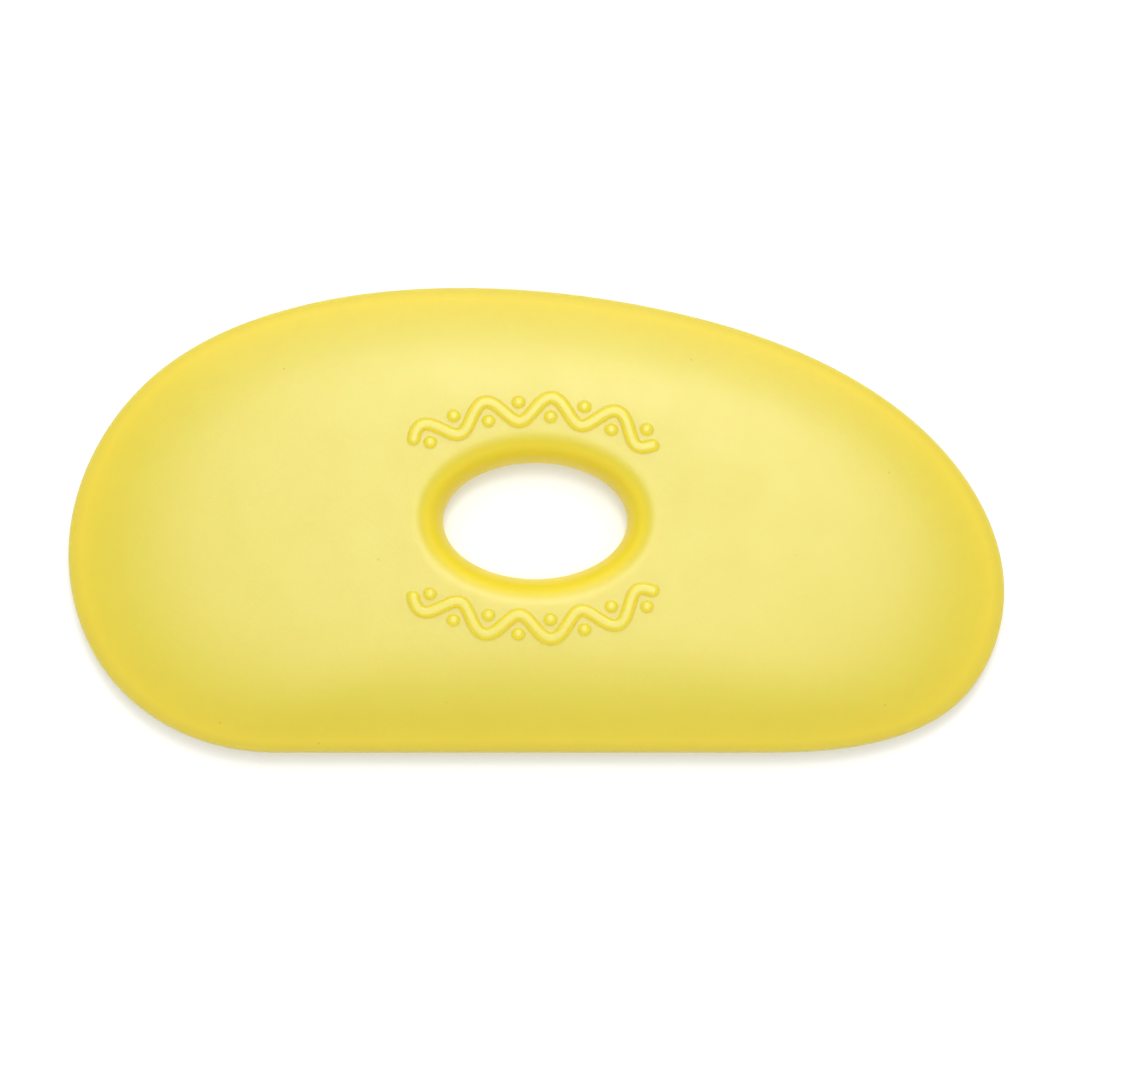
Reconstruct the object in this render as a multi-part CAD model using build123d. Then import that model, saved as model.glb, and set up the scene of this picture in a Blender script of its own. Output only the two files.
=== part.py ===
"""A potter's rib: one piece of soft cast polyurethane, held by an oval finger hole.

Seen from above it is a lopsided oval with one straight side. In section it is a lens: thickest at the hole,
whose wall is a half-round, and thinning to a narrow round edge. A raised wave with a dot in each of its bays
runs along both long sides of the hole, on the upper face only.
The blade lies flat on Z = 0, with its long axis along X and its straight side at -Y. Millimetres.
"""

from build123d import *
from math import atan2, cos, pi, radians, sin, tan
import os

# Overall size of the blade, without the raised wave
LENGTH = 88.9
WIDTH = 44.45
THICKNESS = 5.6
MIDDLE = THICKNESS / 2

# The outline: a straight side, closed by one smooth curve through these points, counter-clockwise
STRAIGHT_START, STRAIGHT_END = (-24.5, -WIDTH / 2), (18.5, -WIDTH / 2)
NOSE = [(32.0, -21.3), (40.0, -17.5), (LENGTH / 2, -7.0), (40.8, 4.0)]
CROWN = [(31.0, 13.0), (13.0, 19.9), (-7.5, WIDTH / 2), (-24.0, 20.1), (-37.0, 13.3)]
HEEL = [(-LENGTH / 2, -2.5), (-40.5, -15.0), (-33.0, -20.6)]

# The section: a round edge, then a dome that starts at EDGE_SLOPE and levels out at the ring around the hole
EDGE_RADIUS = 0.6
EDGE_SLOPE = radians(24)
EDGE_STEPS = 4
DOME_STEPS = 10
LOFT_POINTS = 60  # points around each level curve
SOFTENING = 6  # rounds of averaging that ease the dome from the straight side into the curved ones
SEAM = 0.88  # how far round the outline the level curves close: at the heel, clear of the raised wave

# The finger hole, and the flat ring that the blade lies on
HOLE_CENTRE = Vector(-0.1, -0.15)
HOLE_HALF_LENGTH = 8.75
HOLE_HALF_WIDTH = 5.55
HAIRLINE = 0.2  # straight wall left where the two rolled mouths meet
MOUTH_RADIUS = (THICKNESS - HAIRLINE) / 2
RING_WIDTH = 1.0
RING_HALF_LENGTH = HOLE_HALF_LENGTH + MOUTH_RADIUS + RING_WIDTH
RING_HALF_WIDTH = HOLE_HALF_WIDTH + MOUTH_RADIUS + RING_WIDTH

# The raised wave: a round bead, sunk below the surface so that BEAD_HEIGHT of it stands out
BEAD_RADIUS = 0.55
BEAD_HEIGHT = 0.32
ARC_RADIUS = 21.7
ARC_TOP = 10.4  # from the hole's centre to the middle of the arc
WAVES = 4
WAVE_LENGTH = 6.1
WAVE_HEIGHT = 1.15
POINTS_PER_WAVE = 8
DOT_OFFSET = 0.7


def outline():
    """The blade's widest outline, at the middle of its thickness."""
    curve = Edge.make_spline(
        [STRAIGHT_END, *NOSE, *CROWN, *HEEL, STRAIGHT_START],
        tangents=[(1, 0), (1, 0)],
        scale=False,
    )
    return Wire([Edge.make_line(STRAIGHT_START, STRAIGHT_END), curve])


def facing_point(point):
    """The point on the flat ring's outer edge that faces a point of the outline."""
    angle = atan2(point.Y / WIDTH, point.X / LENGTH)
    return HOLE_CENTRE + Vector(RING_HALF_LENGTH * cos(angle), RING_HALF_WIDTH * sin(angle))


class Ray:
    """A straight line across the blade, from a point of the outline to the ring point that faces it."""

    def __init__(self, rim, place):
        self.start = rim.position_at(place)
        line = facing_point(self.start) - self.start
        self.length = line.length
        self.direction = line.normalized()
        self.squareness = self.direction.cross(rim.tangent_at(place)).length  # 1 when it leaves the edge square

    def at(self, inset, height):
        place = self.start + self.direction * inset
        return (place.X, place.Y, MIDDLE + height)


def smooth_minimum(a, b):
    """Near the smaller of two lengths, with no kink where they cross."""
    return (a**-8 + b**-8) ** (-1 / 8)


def softened(values):
    """Values around the blade, each averaged with its two neighbours, SOFTENING times over."""
    for _ in range(SOFTENING):
        after = values[1:] + values[:1]
        values = [(values[i - 1] + 2 * values[i] + after[i]) / 4 for i in range(len(values))]
    return values


def level_curve(points):
    """A closed smooth curve through points at one height."""
    spacing = [i / LOFT_POINTS for i in range(LOFT_POINTS + 1)]
    return Wire([Edge.make_spline(points, parameters=spacing, periodic=True)])


def blade():
    """The lens-shaped blade without its hole, in bands from the lower ring, round the edge, to the upper ring."""
    rim = outline()
    rays = [Ray(rim, (SEAM + i / LOFT_POINTS) % 1) for i in range(LOFT_POINTS)]
    levels = []

    for i in range(EDGE_STEPS):
        turn = (pi / 2 - EDGE_SLOPE) * i / EDGE_STEPS
        inset = EDGE_RADIUS * (1 - cos(turn))
        levels.append([(ray, inset, EDGE_RADIUS * sin(turn)) for ray in rays])

    edge_inset = EDGE_RADIUS * (1 - sin(EDGE_SLOPE))
    rise = MIDDLE - EDGE_RADIUS * cos(EDGE_SLOPE)
    shortest = min(ray.length for ray in rays) - edge_inset
    power = tan(EDGE_SLOPE) * shortest / rise
    squareness = softened([ray.squareness for ray in rays])
    for i in range(DOME_STEPS + 1):
        t = i / DOME_STEPS
        height = MIDDLE - rise * (1 - t) ** power
        level = []
        for ray, square in zip(rays, squareness):
            run = ray.length - edge_inset
            steady = smooth_minimum(shortest / square, run)
            level.append((ray, edge_inset + steady * t + (run - steady) * t**3, height))
        levels.append(level)

    upper = [level_curve([ray.at(inset, height) for ray, inset, height in level]) for level in levels]
    lower = [level_curve([ray.at(inset, -height) for ray, inset, height in level]) for level in levels]
    return Solid.make_loft([*reversed(lower[1:]), *upper], ruled=True)


def finger_hole(body):
    """The blade with its oval hole, both mouths rolled over until they nearly meet."""
    oval = Pos(HOLE_CENTRE) * Ellipse(HOLE_HALF_LENGTH, HOLE_HALF_WIDTH)
    pierced = body - extrude(oval, THICKNESS)
    closed = pierced.edges().filter_by(lambda edge: edge.is_closed)
    mouths = closed.sort_by(SortBy.LENGTH)[:2]
    return fillet(mouths, MOUTH_RADIUS)


def on_arc(along, outwards, side):
    """A point beside the hole: so far along the arc, so far outwards from it. side is 1 at +Y and -1 at -Y."""
    turn = along / ARC_RADIUS
    reach = ARC_RADIUS + outwards
    x = reach * sin(turn)
    y = ARC_TOP - ARC_RADIUS + reach * cos(turn)
    return HOLE_CENTRE + Vector(x, side * y)


def bead_centre(body, place):
    """The point under a place on the upper face where a bead is centred to stand out by BEAD_HEIGHT."""
    hits = body.find_intersection_points(Axis((place.X, place.Y, MIDDLE), (0, 0, 1)))
    surface = max(point.Z for point, normal in hits)
    return Vector(place.X, place.Y, surface + BEAD_HEIGHT - BEAD_RADIUS)


def raised_wave(body, side):
    """The wave and its dots on one side of the hole. The wave's two ends run down into the blade."""
    start = -WAVES * WAVE_LENGTH / 2
    steps = WAVES * POINTS_PER_WAVE
    path = []
    for i in range(steps + 1):
        phase = 2 * pi * i / POINTS_PER_WAVE
        along = start + WAVE_LENGTH * i / POINTS_PER_WAVE
        point = bead_centre(body, on_arc(along, WAVE_HEIGHT * sin(phase), side))
        if i in (0, steps):
            point -= Vector(0, 0, BEAD_RADIUS)
        path.append(point)
    line = Edge.make_spline(path)
    section = Plane(origin=line @ 0, z_dir=line % 0) * Circle(BEAD_RADIUS)
    wave = sweep(section, path=line)

    dots = []
    for bay in range(2 * WAVES):
        outwards = DOT_OFFSET if bay % 2 else -DOT_OFFSET
        centre = bead_centre(body, on_arc(start + WAVE_LENGTH * (bay + 0.5) / 2, outwards, side))
        dots.append(Pos(centre) * Sphere(BEAD_RADIUS))
    return [wave, *dots]


def main():
    os.makedirs("parts", exist_ok=True)
    plain = blade()
    raised = raised_wave(plain, 1) + raised_wave(plain, -1)
    rib = finger_hole(plain) + raised
    export_step(rib, "parts/rib.step")


main()
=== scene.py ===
"""A potter's rib, lying flat: one casting of soft yellow polyurethane, with the CAD rib as its frame."""

from math import cos, pi, radians, sin, tan

import bpy
import numpy as np
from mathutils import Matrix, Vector, kdtree, noise


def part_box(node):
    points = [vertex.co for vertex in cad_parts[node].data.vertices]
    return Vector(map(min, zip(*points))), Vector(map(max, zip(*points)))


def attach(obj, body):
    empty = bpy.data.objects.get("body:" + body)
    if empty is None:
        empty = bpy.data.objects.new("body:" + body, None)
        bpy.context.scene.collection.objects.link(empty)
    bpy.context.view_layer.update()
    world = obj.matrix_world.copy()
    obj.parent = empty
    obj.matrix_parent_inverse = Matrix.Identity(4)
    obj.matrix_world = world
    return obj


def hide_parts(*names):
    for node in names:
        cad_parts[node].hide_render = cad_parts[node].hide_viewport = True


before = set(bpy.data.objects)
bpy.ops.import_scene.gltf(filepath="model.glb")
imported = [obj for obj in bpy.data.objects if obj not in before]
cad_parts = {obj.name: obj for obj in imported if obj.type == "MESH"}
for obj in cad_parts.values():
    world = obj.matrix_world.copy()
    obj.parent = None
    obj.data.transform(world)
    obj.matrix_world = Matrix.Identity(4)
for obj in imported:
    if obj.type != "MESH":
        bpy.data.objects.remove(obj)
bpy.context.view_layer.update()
low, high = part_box("rib")

MM = 0.001

# The blade, in millimetres. Its outline is scaled to the box of the CAD rib.
LENGTH = 88.9
WIDTH = 44.45
THICKNESS = 5.6
MIDDLE = THICKNESS / 2
STRAIGHT_START, STRAIGHT_END = (-24.5, -WIDTH / 2), (18.5, -WIDTH / 2)
NOSE = [(32.0, -21.3), (40.0, -17.5), (LENGTH / 2, -7.0), (40.8, 4.0)]
CROWN = [(31.0, 13.0), (13.0, 19.9), (-7.5, WIDTH / 2), (-24.0, 20.1), (-37.0, 13.3)]
HEEL = [(-LENGTH / 2, -2.5), (-40.5, -15.0), (-33.0, -20.6)]
CLEARANCE = 0.004  # how much smaller than the box the outline is
EDGE_RADIUS = 0.6
EDGE_SLOPE = radians(24)
SOFTENING = 680  # rounds of averaging that ease the dome from the straight side into the curved ones

# The finger hole, its rolled mouths, and the flat ring around them
HOLE_CENTRE = np.array((-0.1, -0.15))
HOLE_HALF = np.array((8.75, 5.55))
MOUTH_RADIUS = 2.7
RING_WIDTH = 1.0
RING_HALF = HOLE_HALF + MOUTH_RADIUS + RING_WIDTH
MOUTH_EASE = 0.3  # how much further out the mouth starts to roll over than its radius
MOUTH_ONSET = 2.6  # over 2, so that the roll begins gently
MOUTH_CLOSE = 1.35  # under 2, so that it ends less than upright

# The raised wave with a dot in each bay
BEAD_HALF_WIDTH = 0.58
BEAD_HEIGHT = 0.22
BEAD_BREADTH = 6  # the higher this power, the broader the bead's back and the steeper its sides
ARC_RADIUS = 21.7
ARC_TOP = 10.4
WAVES = 4
WAVE_LENGTH = 6.1
WAVE_HEIGHT = 1.15
WAVE_END = 0.3  # how far short of its last zero the wave stops
DOT_OFFSET = 0.7

# What casting leaves: a hairline ridge where the mould halves met, and a face with slow rises and falls
PARTING_HEIGHT = 0.04
PARTING_WIDTH = 0.12
UNEVENNESS = 0.012
UNEVEN_BELOW = 0.8  # the unevenness fades out over this depth below the crest
SWELL_LENGTH = 13.0
RIPPLE_LENGTH = 5.0
RIPPLE_SHARE = 0.4

# The grid of the skin
COLUMNS = 640
EDGE_ROWS = 7
FAR_ROWS = 20
FAR_ROWS_BELOW = 18
NEAR_WIDTH = 5.5  # the finely divided stretch outside the ring, where the beads stand
NEAR_ROWS = 64
NEAR_ROWS_BELOW = 4
RING_ROWS = 6
RING_ROWS_BELOW = 3
MOUTH_ROWS = 16
MOUTH_ROWS_BELOW = 9

# How finely lines are sampled, and how often an equation is refined
CURVE_SAMPLES = 4000
SIDE_SAMPLES = 1000
OVAL_SAMPLES = 4001
WAVE_SAMPLES = 1200
REFINEMENTS = 12

# Where the painted light and shade in the urethane's tones change, each from one value to another
# below the first height the slopes take the painted shade tone, above the second the crest takes the painted
# lit tone
CREST = 0.6, 2.3  # heights above or below the parting line
# painted shade on the side of the rounded edge: full up to the first height from the parting line, gone at
# the second
EDGE_SHADE_BAND = 0.2, 0.9
# over the first distances the painted light in the hole fades out, over the next the warm painted light on
# steep sides
HOLE_REGION = 1.0, 1.3  # distances from the hole's centre, where 1 is the outer edge of the flat ring
MARKS_REGION = 1.5, 1.8
# steep sides near the hole take the warm painted light
STEEPNESS = 0.87, 0.996  # the upward part of the normal, from steep to nearly level

# Its fine patterns. Scales are per metre.
NOISE_RANGE = 0.3, 0.7  # where a noise mostly stays
CLOUD_SCALE = 60
SPECK_SCALE = 240
SPECK_RADIUS = 0.02, 0.035  # from full tone to none, in parts of a speck's cell
SATIN_SCALE = 250
SATIN = 0.37, 0.40
STREAK_SCALE = 1400
STREAK_STRETCH = 10  # how much longer than wide the streaks are
STREAK_RANGE = 0.4, 0.65
STREAK_DULLNESS = 0.08
GRAIN_SCALE = 3500
GRAIN_STRENGTH = 0.4
GRAIN_DEPTH = 0.02

# Its tones, all but the speck's painted light and shade. Those in pairs are the two ends of its faint clouds.
# painted light: a warm, bright tone for the hole's walls, as if lit through the urethane, and for steep sides
# near the hole
WARM_PAINTED_LIGHT = (0.670, 0.548, 0.002, 1), (0.680, 0.558, 0.004, 1)
# painted shade: a warmer tone for the slopes that turn from the light
SHADED_SLOPE_TONE = (0.608, 0.508, 0.014, 1), (0.618, 0.518, 0.018, 1)
# painted light: a cooler, slightly darker tone for the crest, where the sheen falls
LIT_CREST_TONE = (0.572, 0.490, 0.009, 1), (0.582, 0.500, 0.012, 1)
# painted shade for the side of the rounded edge
EDGE_PAINTED_SHADE = (0.400, 0.345, 0.030, 1)
SPECK = (0.48, 0.39, 0.02, 1)

# How light behaves in it
IOR = 1.5
SPECULAR_LEVEL = 0.8
SCATTERED_SHARE = 0.9
SCATTERING_REACH = (1.0, 0.7, 0.12)  # of red, green and blue, times the scale
SCATTERING_SCALE = 5 * MM

# The board that the rib lies on, in metres
BOARD_TONES = (0.75, 0.75, 0.75, 1), (0.76, 0.76, 0.76, 1)
BOARD_SCALE = 40
BOARD_GLOW = 0.22
BOARD_ROUGHNESS = 0.9
BOARD_SPECULAR_LEVEL = 0.1
BOARD_SIZE = 6
BOARD_GAP = 0.1 * MM

# The room, and the soft lights above the rib in metres and watts: name, place, width and depth, power
ROOM_LIGHT = 0.8
LIGHTS = (
    ("key", (0.05, 0.33, 0.9), (0.3, 0.3), 2.55),
    ("fill", (0.0, 0.12, 0.95), (0.3, 0.3), 1.6),
    ("back", (0.0, 0.65, 0.7), (0.8, 0.35), 1.67),
    ("front", (0.0, -0.2, 0.92), (0.4, 0.25), 0.5),
)

# The view, in metres: nearly straight down, leaning a little to the straight side, with a long lens
ELEVATION = radians(84)
DISTANCE = 0.6
VIEW_WIDTH = 0.1069
LOOK_ASIDE = Vector((0.0025, -0.0016, 0))  # the rib lies a little left of and above the picture's middle


def smooth_curve(points, tangent, samples):
    """A smooth curve through the points that starts and ends along tangent, as an array."""
    points = np.array(points)
    gaps = np.linalg.norm(np.diff(points, axis=0), axis=1)
    knots = np.concatenate(([0], np.cumsum(gaps)))
    count = len(points)
    matrix = np.eye(count)
    right = np.zeros((count, 2))
    right[0] = right[-1] = tangent
    for i in range(1, count - 1):
        before, after = gaps[i - 1], gaps[i]
        matrix[i, i - 1 : i + 2] = after, 2 * (before + after), before
        step_in = (points[i] - points[i - 1]) / before
        step_out = (points[i + 1] - points[i]) / after
        right[i] = 3 * (after * step_in + before * step_out)
    slopes = np.linalg.solve(matrix, right)

    where = np.linspace(0, knots[-1], samples)
    span = np.clip(np.searchsorted(knots, where) - 1, 0, count - 2)
    gap = gaps[span][:, None]
    t = (where - knots[span])[:, None] / gap
    return (
        (1 + 2 * t) * (1 - t) ** 2 * points[span]
        + t * (1 - t) ** 2 * gap * slopes[span]
        + t**2 * (3 - 2 * t) * points[span + 1]
        - t**2 * (1 - t) * gap * slopes[span + 1]
    )


def spread_evenly(line, count):
    """So many points at equal distances round a closed line."""
    closed = np.vstack((line, line[:1]))
    along = np.concatenate(([0], np.cumsum(np.linalg.norm(np.diff(closed, axis=0), axis=1))))
    where = np.linspace(0, along[-1], count, endpoint=False)
    return np.column_stack([np.interp(where, along, closed[:, axis]) for axis in (0, 1)])


def smooth_minimum(a, b):
    """Near the smaller of two lengths, with no kink where they cross."""
    return (a**-8 + b**-8) ** (-1 / 8)


def outline():
    """The blade's widest outline, one point for each column of the grid."""
    curve = smooth_curve([STRAIGHT_END, *NOSE, *CROWN, *HEEL, STRAIGHT_START], (1, 0), CURVE_SAMPLES)
    side = np.linspace(STRAIGHT_START, STRAIGHT_END, SIDE_SAMPLES, endpoint=False)[1:]
    line = spread_evenly(np.vstack((curve, side)), COLUMNS)
    room = np.array((high[0] - low[0], high[1] - low[1])) / MM - CLEARANCE
    return (line - (line.max(axis=0) + line.min(axis=0)) / 2) * room / np.ptp(line, axis=0)


def on_oval(half, angles):
    """Points of an oval around the hole's centre."""
    return HOLE_CENTRE + np.column_stack((half[0] * np.cos(angles), half[1] * np.sin(angles)))


def wall_normals(angles):
    """The outward normals of the hole's wall at these angles."""
    normals = np.column_stack((HOLE_HALF[1] * np.cos(angles), HOLE_HALF[0] * np.sin(angles)))
    return normals / np.linalg.norm(normals, axis=1)[:, None]


def around_hole(angles):
    """For ring points at these angles, the points of the hole's wall that they face, and its normals."""
    fine = np.linspace(-pi, pi, OVAL_SAMPLES)
    offset = on_oval(HOLE_HALF, fine) + (MOUTH_RADIUS + RING_WIDTH) * wall_normals(fine) - HOLE_CENTRE
    seen_at = np.unwrap(np.arctan2(offset[:, 1] / RING_HALF[1], offset[:, 0] / RING_HALF[0]))
    wall_angles = np.interp(angles, seen_at, fine)
    return on_oval(HOLE_HALF, wall_angles), wall_normals(wall_angles)


def softened_squareness(rim, inwards):
    """How squarely each column leaves the edge, 1 when it is square to it, averaged along the rim."""
    tangent = np.roll(rim, -1, axis=0) - np.roll(rim, 1, axis=0)
    tangent /= np.linalg.norm(tangent, axis=1)[:, None]
    squareness = np.abs(inwards[:, 0] * tangent[:, 1] - inwards[:, 1] * tangent[:, 0])
    for _ in range(SOFTENING):
        squareness = (np.roll(squareness, 1) + 2 * squareness + np.roll(squareness, -1)) / 4
    return squareness


def edge_rows(rim, inwards):
    """Rows from the parting line round the edge, up to where the dome begins."""
    rows = []
    for i in range(EDGE_ROWS):
        turn = (pi / 2 - EDGE_SLOPE) * i / EDGE_ROWS
        height = EDGE_RADIUS * sin(turn)
        ridge = PARTING_HEIGHT * max(0.0, 1 - height / PARTING_WIDTH)
        drawn_in = PARTING_HEIGHT - ridge + EDGE_RADIUS * (1 - cos(turn))
        rows.append((rim + inwards * drawn_in, np.full(COLUMNS, height)))
    return rows


def dome_rows(rim, ring, far_rows, near_rows):
    """Rows over the dome, from the round edge to the ring, close together in the last stretch."""
    way = np.linalg.norm(ring - rim, axis=1)
    inwards = (ring - rim) / way[:, None]
    rise = MIDDLE - EDGE_RADIUS * cos(EDGE_SLOPE)
    run = way - PARTING_HEIGHT - EDGE_RADIUS * (1 - sin(EDGE_SLOPE))
    power = tan(EDGE_SLOPE) * run.min() / rise
    steady = smooth_minimum(run.min() / softened_squareness(rim, inwards), run)
    left_to_go = [NEAR_WIDTH + (run - NEAR_WIDTH) * (1 - i / far_rows) for i in range(far_rows)]
    left_to_go += [np.full(COLUMNS, NEAR_WIDTH * (1 - i / near_rows)) for i in range(near_rows)]
    rows = []
    for left in left_to_go:
        gone = run - left
        t = gone / run
        for _ in range(REFINEMENTS):
            t = t - (steady * t + (run - steady) * t**3 - gone) / (steady + 3 * (run - steady) * t**2)
        rows.append((ring - inwards * left[:, None], MIDDLE - rise * np.clip(1 - t, 0, 1) ** power))
    return rows


def hole_rows(ring, angles, ring_rows, mouth_rows):
    """Rows over the flat ring, then over the mouth's roll and down to the middle of the hole's wall."""
    wall, normals = around_hole(angles)
    reach = MOUTH_RADIUS + MOUTH_EASE
    mouth = wall + normals * reach
    rows = [(ring + (mouth - ring) * i / ring_rows, np.full(COLUMNS, MIDDLE)) for i in range(ring_rows)]
    for i in range(mouth_rows + 1):
        closed = sin(pi / 2 * i / mouth_rows)
        height = MIDDLE - MOUTH_RADIUS + MOUTH_RADIUS * (1 - closed**MOUTH_ONSET) ** (1 / MOUTH_CLOSE)
        rows.append((wall + normals * reach * (1 - closed), np.full(COLUMNS, height)))
    return rows


def face_rows(far_rows, near_rows, ring_rows, mouth_rows):
    """One face of the blade from the parting line to mid-hole, as rows of plan points with their heights."""
    rim = outline()
    angles = np.arctan2(rim[:, 1] / WIDTH, rim[:, 0] / LENGTH)
    ring = on_oval(RING_HALF, angles)
    inwards = (ring - rim) / np.linalg.norm(ring - rim, axis=1)[:, None]
    return [
        *edge_rows(rim, inwards),
        *dome_rows(rim, ring, far_rows, near_rows),
        *hole_rows(ring, angles, ring_rows, mouth_rows),
    ]


def on_arc(along, outwards, side):
    """A plan point beside the hole, so far along the arc and outwards from it. side is 1 at +Y, -1 at -Y."""
    turn = along / ARC_RADIUS
    reach = ARC_RADIUS + outwards
    y = ARC_TOP - ARC_RADIUS + reach * cos(turn)
    return HOLE_CENTRE[0] + reach * sin(turn), HOLE_CENTRE[1] + side * y


def bead_line():
    """A search tree of closely spaced plan points along the middle of every raised line, and at every dot."""
    points = []
    start = -WAVES * WAVE_LENGTH / 2
    for side in (1, -1):
        for i in range(WAVE_SAMPLES + 1):
            along = (start + WAVE_END) * (1 - 2 * i / WAVE_SAMPLES)
            phase = 2 * pi * (along - start) / WAVE_LENGTH
            points.append(on_arc(along, WAVE_HEIGHT * sin(phase), side))
        for bay in range(2 * WAVES):
            outwards = DOT_OFFSET if bay % 2 else -DOT_OFFSET
            points.append(on_arc(start + WAVE_LENGTH * (bay + 0.5) / 2, outwards, side))
    tree = kdtree.KDTree(len(points))
    for index, (x, y) in enumerate(points):
        tree.insert((x, y, 0), index)
    tree.balance()
    return tree


def bead_height(beads, x, y):
    """How far the raised lines stand out here: a low bead with steep sides, a broad back and a soft root."""
    _, _, away = beads.find((x, y, 0))
    across = min(away / BEAD_HALF_WIDTH, 1.0)
    return BEAD_HEIGHT * (1 - across**BEAD_BREADTH) ** 2


def unevenness(x, y, height):
    """The slow rise and fall of the face here, which fades out toward the crest."""
    swell = noise.noise(Vector((x / SWELL_LENGTH, y / SWELL_LENGTH, 3.0)))
    ripple = noise.noise(Vector((x / RIPPLE_LENGTH, y / RIPPLE_LENGTH, 10.0)))
    return UNEVENNESS * (swell + RIPPLE_SHARE * ripple) * min(1.0, (MIDDLE - height) / UNEVEN_BELOW)


def grid_faces(rows):
    """The quads of a grid that closes both ways, by the numbers of their corners."""
    faces = []
    for row in range(rows):
        here, after = row * COLUMNS, (row + 1) % rows * COLUMNS
        for column in range(COLUMNS):
            beside = (column + 1) % COLUMNS
            faces.append((here + column, here + beside, after + beside, after + column))
    return faces


def build_skin():
    """The rib's whole surface as one closed grid, over the upper face, through the hole and back below."""
    upper = face_rows(FAR_ROWS, NEAR_ROWS, RING_ROWS, MOUTH_ROWS)
    lower = face_rows(FAR_ROWS_BELOW, NEAR_ROWS_BELOW, RING_ROWS_BELOW, MOUTH_ROWS_BELOW)
    skin = [np.column_stack((plan, height)) for plan, height in upper]
    beads = bead_line()
    for row in skin[EDGE_ROWS:-MOUTH_ROWS]:
        for point in row:
            point[2] += unevenness(*point) + bead_height(beads, point[0], point[1])
    for plan, height in reversed(lower[1:]):
        skin.append(np.column_stack((plan, -height)))
    points = np.vstack(skin)
    points[:, 2] += MIDDLE
    centre = np.array(((low[0] + high[0]) / 2, (low[1] + high[1]) / 2, low[2]))

    mesh = bpy.data.meshes.new("rib_skin")
    mesh.from_pydata((points * MM + centre).tolist(), [], grid_faces(len(skin)))
    mesh.validate()
    mesh.shade_smooth()
    skin_object = bpy.data.objects.new("rib_skin", mesh)
    bpy.context.scene.collection.objects.link(skin_object)
    return skin_object


class Nodes:
    """A material's node tree, with short calls to add and join nodes."""

    def __init__(self, name):
        self.material = bpy.data.materials.new(name)
        self.material.use_nodes = True
        self.tree = self.material.node_tree
        self.shader = self.tree.nodes["Principled BSDF"]

    def add(self, kind, settings=None, **inputs):
        node = self.tree.nodes.new(kind)
        for key, value in (settings or {}).items():
            setattr(node, key, value)
        for key, value in inputs.items():
            self.feed(node.inputs[key], value)
        return node

    def feed(self, socket, value):
        if isinstance(value, bpy.types.NodeSocket):
            self.tree.links.new(value, socket)
        else:
            socket.default_value = value

    def coordinate(self, name):
        return self.add("ShaderNodeTexCoord").outputs[name]

    def z_of(self, vector):
        return self.add("ShaderNodeSeparateXYZ", Vector=vector).outputs["Z"]

    def noise(self, place, scale, detail=3.0):
        return self.add("ShaderNodeTexNoise", Vector=place, Scale=scale, Detail=detail).outputs["Fac"]

    def spread(self, value, from_low, from_high, to_low=0.0, to_high=1.0):
        node = self.add("ShaderNodeMapRange", {"clamp": True}, Value=value)
        ends = {"From Min": from_low, "From Max": from_high, "To Min": to_low, "To Max": to_high}
        for name, number in ends.items():
            self.feed(node.inputs[name], number)
        return node.outputs["Result"]

    def calculate(self, operation, first, second=0.0):
        node = self.add("ShaderNodeMath", {"operation": operation})
        self.feed(node.inputs[0], first)
        self.feed(node.inputs[1], second)
        return node.outputs["Value"]

    def vector(self, operation, first, second=(0, 0, 0), output="Vector"):
        node = self.add("ShaderNodeVectorMath", {"operation": operation})
        self.feed(node.inputs[0], first)
        self.feed(node.inputs[1], second)
        return node.outputs[output]

    def blend(self, amount, first, second):
        node = self.add("ShaderNodeMix", {"data_type": "RGBA"})
        self.feed(node.inputs[0], amount)
        self.feed(node.inputs[6], first)
        self.feed(node.inputs[7], second)
        return node.outputs[2]

    def bump(self, height, strength, distance):
        node = self.add("ShaderNodeBump", Height=height, Strength=strength, Distance=distance)
        return node.outputs["Normal"]


def hole_distance(nodes, place):
    """How far from the hole's centre, in ovals: 1 on the outer edge of the flat ring."""
    off_centre = nodes.vector("SUBTRACT", place, (HOLE_CENTRE[0] * MM, HOLE_CENTRE[1] * MM, 0))
    in_ovals = nodes.vector("MULTIPLY", off_centre, (1 / RING_HALF[0] / MM, 1 / RING_HALF[1] / MM, 0))
    return nodes.vector("LENGTH", in_ovals, output="Value")


def urethane_tone(nodes, place, from_middle, crest):
    """Painted light and shade: a lit crest, shaded slopes, a dark edge, and warm light in the hole and on
    steep sides near it.
    """
    clouds = nodes.spread(nodes.noise(place, CLOUD_SCALE, 4), *NOISE_RANGE)
    warm_light = nodes.blend(clouds, *WARM_PAINTED_LIGHT)
    # painted shade on the side of the rounded edge, around the parting line
    parting = nodes.spread(from_middle, *EDGE_SHADE_BAND, 1, 0)
    # the slopes' painted shade tone, with the edge's painted shade over it
    edge = nodes.blend(parting, nodes.blend(clouds, *SHADED_SLOPE_TONE), EDGE_PAINTED_SHADE)
    ovals = hole_distance(nodes, place)
    # painted light on the hole's walls
    hole_light = nodes.spread(ovals, *HOLE_REGION, 1, 0)
    # the lit tone on the crest, over the shaded slopes and the painted light in the hole
    colour = nodes.blend(crest, nodes.blend(hole_light, edge, warm_light), nodes.blend(clouds, *LIT_CREST_TONE))

    # warm painted light on steep sides near the hole: the mouth's roll and the beads' sides
    facing_up = nodes.calculate("ABSOLUTE", nodes.z_of(nodes.coordinate("Normal")))
    steep = nodes.spread(facing_up, *STEEPNESS, 1, 0)
    near_hole = nodes.spread(ovals, *MARKS_REGION, 1, 0)
    colour = nodes.blend(nodes.calculate("MULTIPLY", steep, near_hole), colour, warm_light)

    cells = nodes.add("ShaderNodeTexVoronoi", Vector=place, Scale=SPECK_SCALE).outputs["Distance"]
    return nodes.blend(nodes.spread(cells, *SPECK_RADIUS, 1, 0), colour, SPECK)


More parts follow.
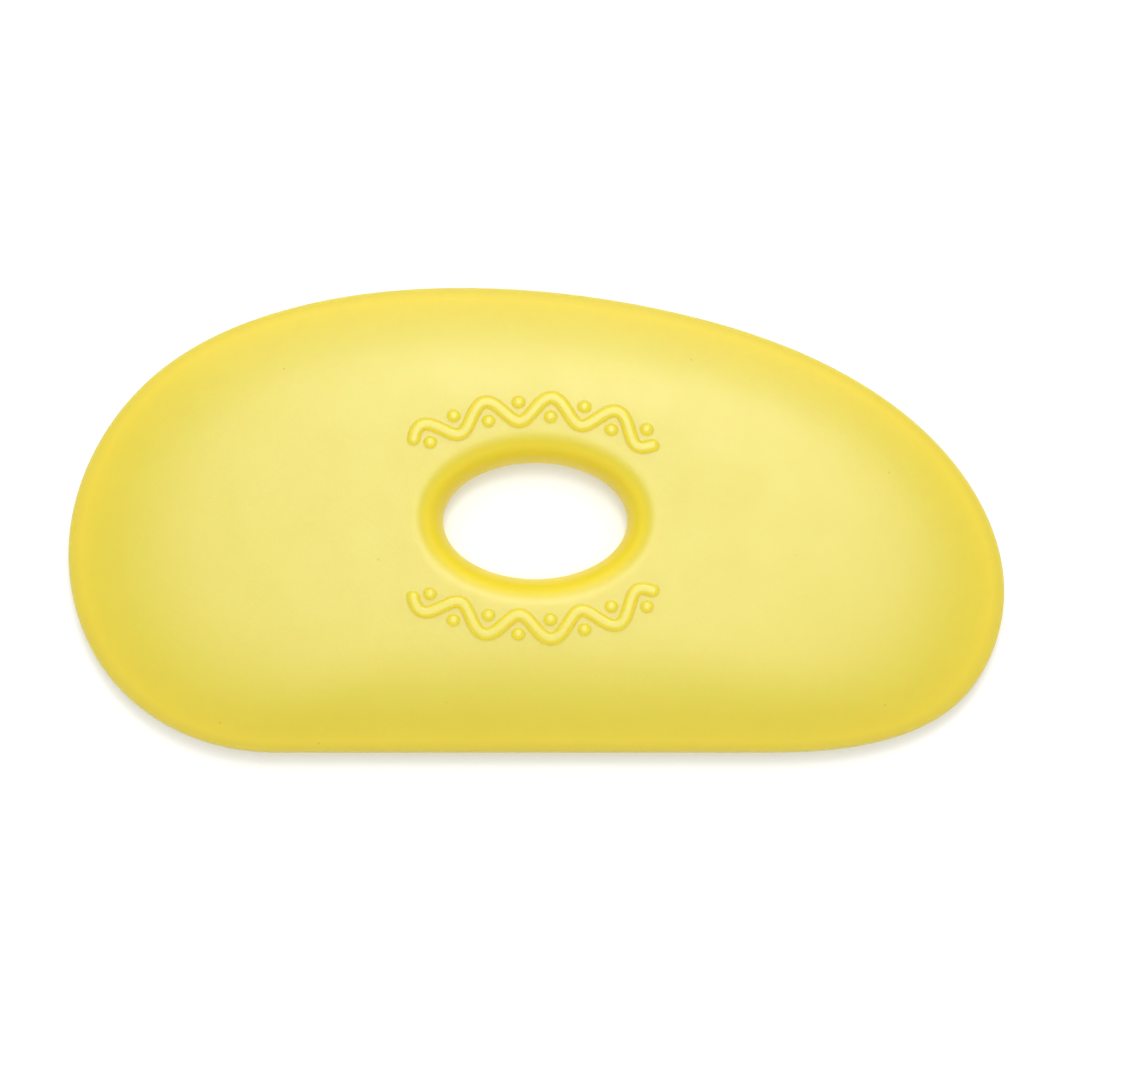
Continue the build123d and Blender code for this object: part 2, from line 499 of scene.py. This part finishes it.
def urethane_roughness(nodes, place, crest):
    """Satin, with dull streaks along the blade where it has been rubbed, away from the crest."""
    satin = nodes.spread(nodes.noise(place, SATIN_SCALE, 5), *NOISE_RANGE, *SATIN)
    lengthened = nodes.vector("MULTIPLY", place, (1 / STREAK_STRETCH, 1, 1))
    streaks = nodes.spread(nodes.noise(lengthened, STREAK_SCALE, 2), *STREAK_RANGE, 0, STREAK_DULLNESS)
    rubbed = nodes.calculate("MULTIPLY", streaks, nodes.calculate("SUBTRACT", 1.0, crest))
    return nodes.calculate("ADD", satin, rubbed)


def urethane():
    """Soft cast polyurethane: satin, scattering light inside, faintly clouded and specked, finely grained."""
    nodes = Nodes("urethane")
    place = nodes.coordinate("Object")
    above_middle = nodes.calculate("SUBTRACT", nodes.z_of(place), low[2] + MIDDLE * MM)
    from_middle = nodes.calculate("DIVIDE", nodes.calculate("ABSOLUTE", above_middle), MM)
    crest = nodes.spread(from_middle, *CREST)
    sockets = nodes.shader.inputs
    nodes.feed(sockets["Base Color"], urethane_tone(nodes, place, from_middle, crest))
    nodes.feed(sockets["Roughness"], urethane_roughness(nodes, place, crest))
    grain = nodes.noise(place, GRAIN_SCALE)
    nodes.feed(sockets["Normal"], nodes.bump(grain, GRAIN_STRENGTH, GRAIN_DEPTH * MM))
    sockets["IOR"].default_value = IOR
    sockets["Specular IOR Level"].default_value = SPECULAR_LEVEL
    sockets["Subsurface Weight"].default_value = SCATTERED_SHARE
    sockets["Subsurface Radius"].default_value = SCATTERING_REACH
    sockets["Subsurface Scale"].default_value = SCATTERING_SCALE
    return nodes.material


def white_board():
    """Plain matt white board that glows a little, so that the rib's shadow on it stays light."""
    nodes = Nodes("white_board")
    mottle = nodes.spread(nodes.noise(nodes.coordinate("Object"), BOARD_SCALE), *NOISE_RANGE)
    sockets = nodes.shader.inputs
    nodes.feed(sockets["Base Color"], nodes.blend(mottle, *BOARD_TONES))
    sockets["Emission Color"].default_value = (1, 1, 1, 1)
    sockets["Emission Strength"].default_value = BOARD_GLOW
    sockets["Roughness"].default_value = BOARD_ROUGHNESS
    sockets["Specular IOR Level"].default_value = BOARD_SPECULAR_LEVEL
    return nodes.material


def build_floor():
    bpy.ops.mesh.primitive_plane_add(size=BOARD_SIZE, location=(0, 0, low[2] - BOARD_GAP))
    floor = bpy.context.object
    floor.name = "floor"
    floor.data.materials.append(white_board())


def soft_light(name, place, size, power, target):
    light = bpy.data.lights.new(name, "AREA")
    light.shape = "RECTANGLE"
    light.size, light.size_y = size
    light.energy = power
    lamp = bpy.data.objects.new(name, light)
    lamp.location = place
    lamp.rotation_euler = (Vector(target) - Vector(place)).to_track_quat("-Z", "Y").to_euler()
    bpy.context.scene.collection.objects.link(lamp)


def build_studio(centre):
    """A white room with four soft lights high above the rib, most of them a little behind it."""
    world = bpy.data.worlds.new("studio")
    world.use_nodes = True
    background = world.node_tree.nodes["Background"].inputs
    background["Color"].default_value = (1, 1, 1, 1)
    background["Strength"].default_value = ROOM_LIGHT
    bpy.context.scene.world = world
    for name, place, size, power in LIGHTS:
        soft_light(name, place, size, power, centre)
    bpy.context.scene.view_settings.view_transform = "Standard"


def build_camera(centre):
    camera = bpy.data.cameras.new("camera")
    camera.lens = camera.sensor_width * DISTANCE / VIEW_WIDTH
    camera.clip_start = 0.01
    view = bpy.data.objects.new("camera", camera)
    away = Vector((0, -cos(ELEVATION), sin(ELEVATION)))
    view.location = centre + LOOK_ASIDE + away * DISTANCE
    view.rotation_euler = (-away).to_track_quat("-Z", "Y").to_euler()
    bpy.context.scene.collection.objects.link(view)
    bpy.context.scene.camera = view


middle = (Vector(low) + Vector(high)) / 2
build_camera(middle)
build_studio(middle)
build_floor()

rib = build_skin()
rib.data.materials.append(urethane())
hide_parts("rib")
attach(rib, "root")
